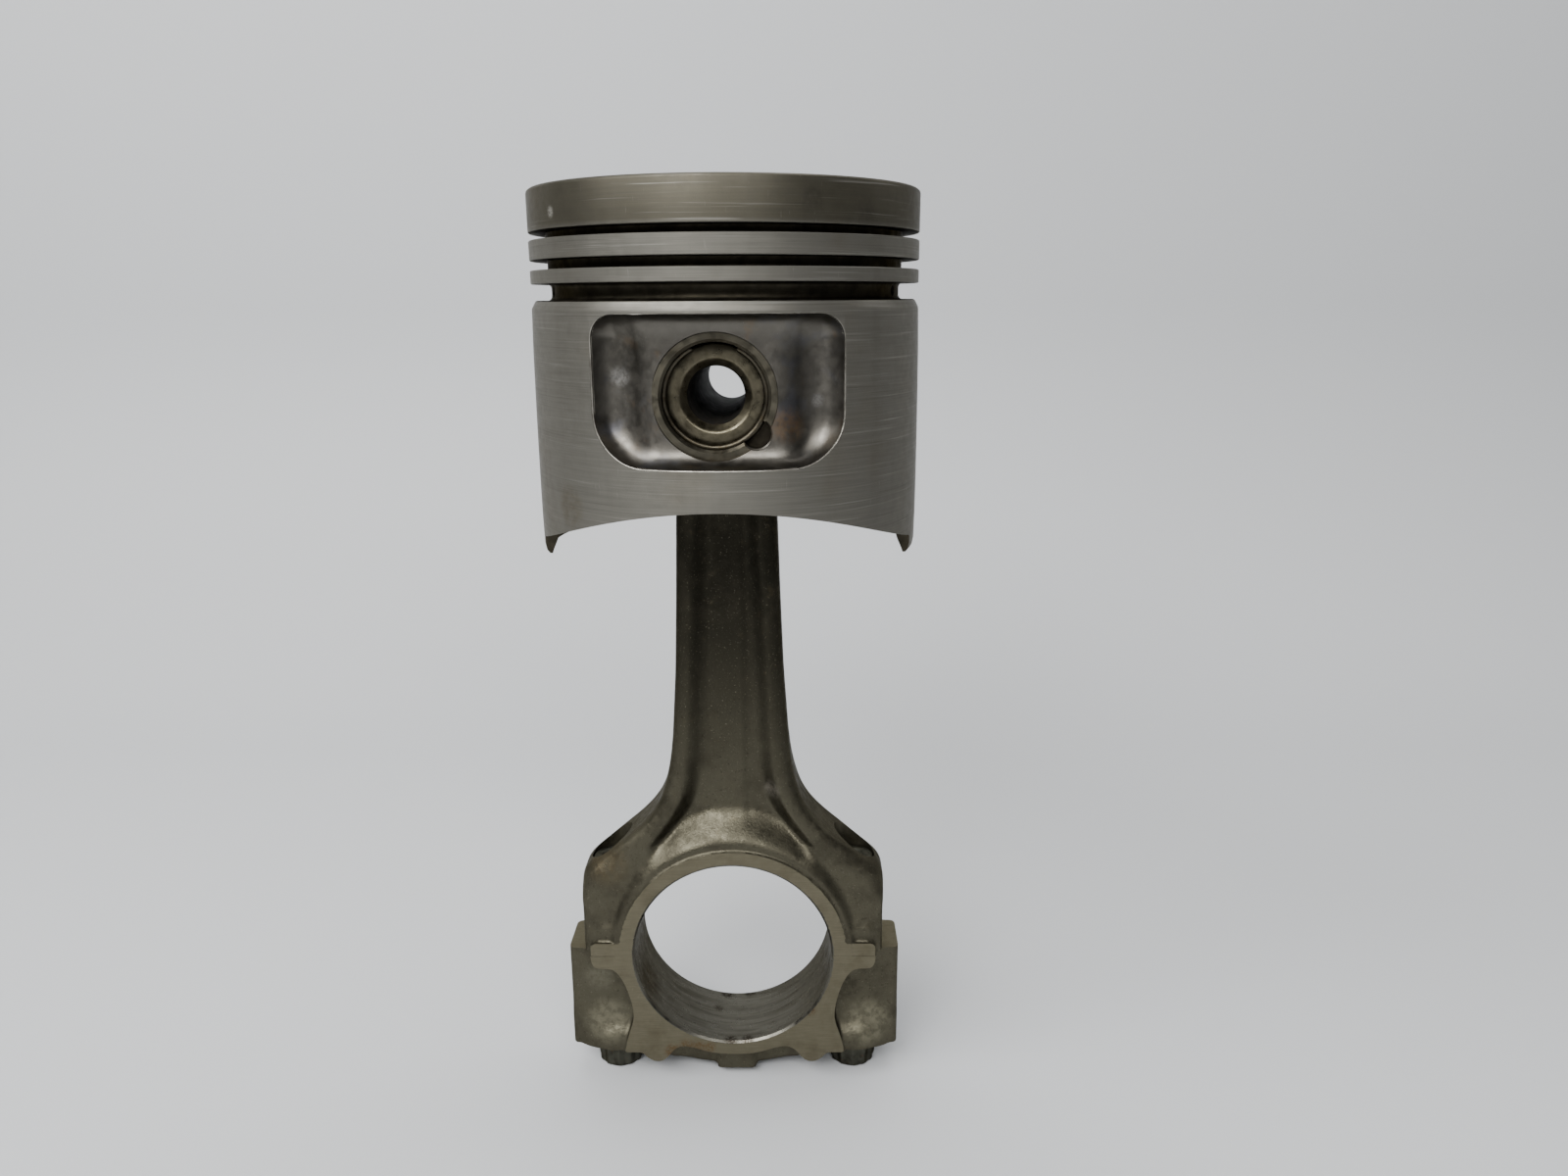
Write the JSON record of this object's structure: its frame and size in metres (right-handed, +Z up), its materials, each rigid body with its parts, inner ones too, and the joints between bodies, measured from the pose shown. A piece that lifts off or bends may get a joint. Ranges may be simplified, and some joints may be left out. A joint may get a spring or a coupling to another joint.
{
  "type": "piston and connecting rod",
  "caption": "Car-engine piston on its forged connecting rod, with open ring grooves, recessed pin bosses, a floating gudgeon pin, circlips and a split, bolted big end.",
  "frame": {"origin": "on the piston's centre line, level with the bottom faces of the big-end nuts", "axes": "+Z up through the piston's crown, Y along the crankshaft and the gudgeon pin, X across the engine"},
  "size_m": [0.0898, 0.0898, 0.2274],
  "materials": {
    "piston_alloy": "turned, worn satin, cast skin in the pockets and inside",
    "forged_steel": "dark forged skin, blasted; thrust faces and bore ground",
    "ground_steel": "ground",
    "spring_steel": "drawn wire, oiled",
    "bronze": "bored",
    "black_steel": "blackened, oily"
  },
  "bodies": {
    "rod": {"con_rod": "forged_steel", "rod_cap": "forged_steel", "small_end_bush": "bronze", "rod_bolt_left": "black_steel", "rod_bolt_right": "black_steel", "rod_nut_left": "black_steel", "rod_nut_right": "black_steel"},
    "piston": {"piston": "piston_alloy", "circlip_front": "spring_steel", "circlip_rear": "spring_steel"},
    "pin": {"gudgeon_pin": "ground_steel"}
  },
  "joints": [
    {"name": "piston_swivel", "type": "hinge", "parent": "rod", "child": "piston", "pos_m": [-0.0007, 0, 0.1845], "axis": [0, 1, 0], "range_deg": [-30, 30]},
    {"name": "pin_spin", "type": "hinge", "parent": "piston", "child": "pin", "pos_m": [-0.0007, 0, 0.1845], "axis": [0, 1, 0], "continuous": true}
  ]
}
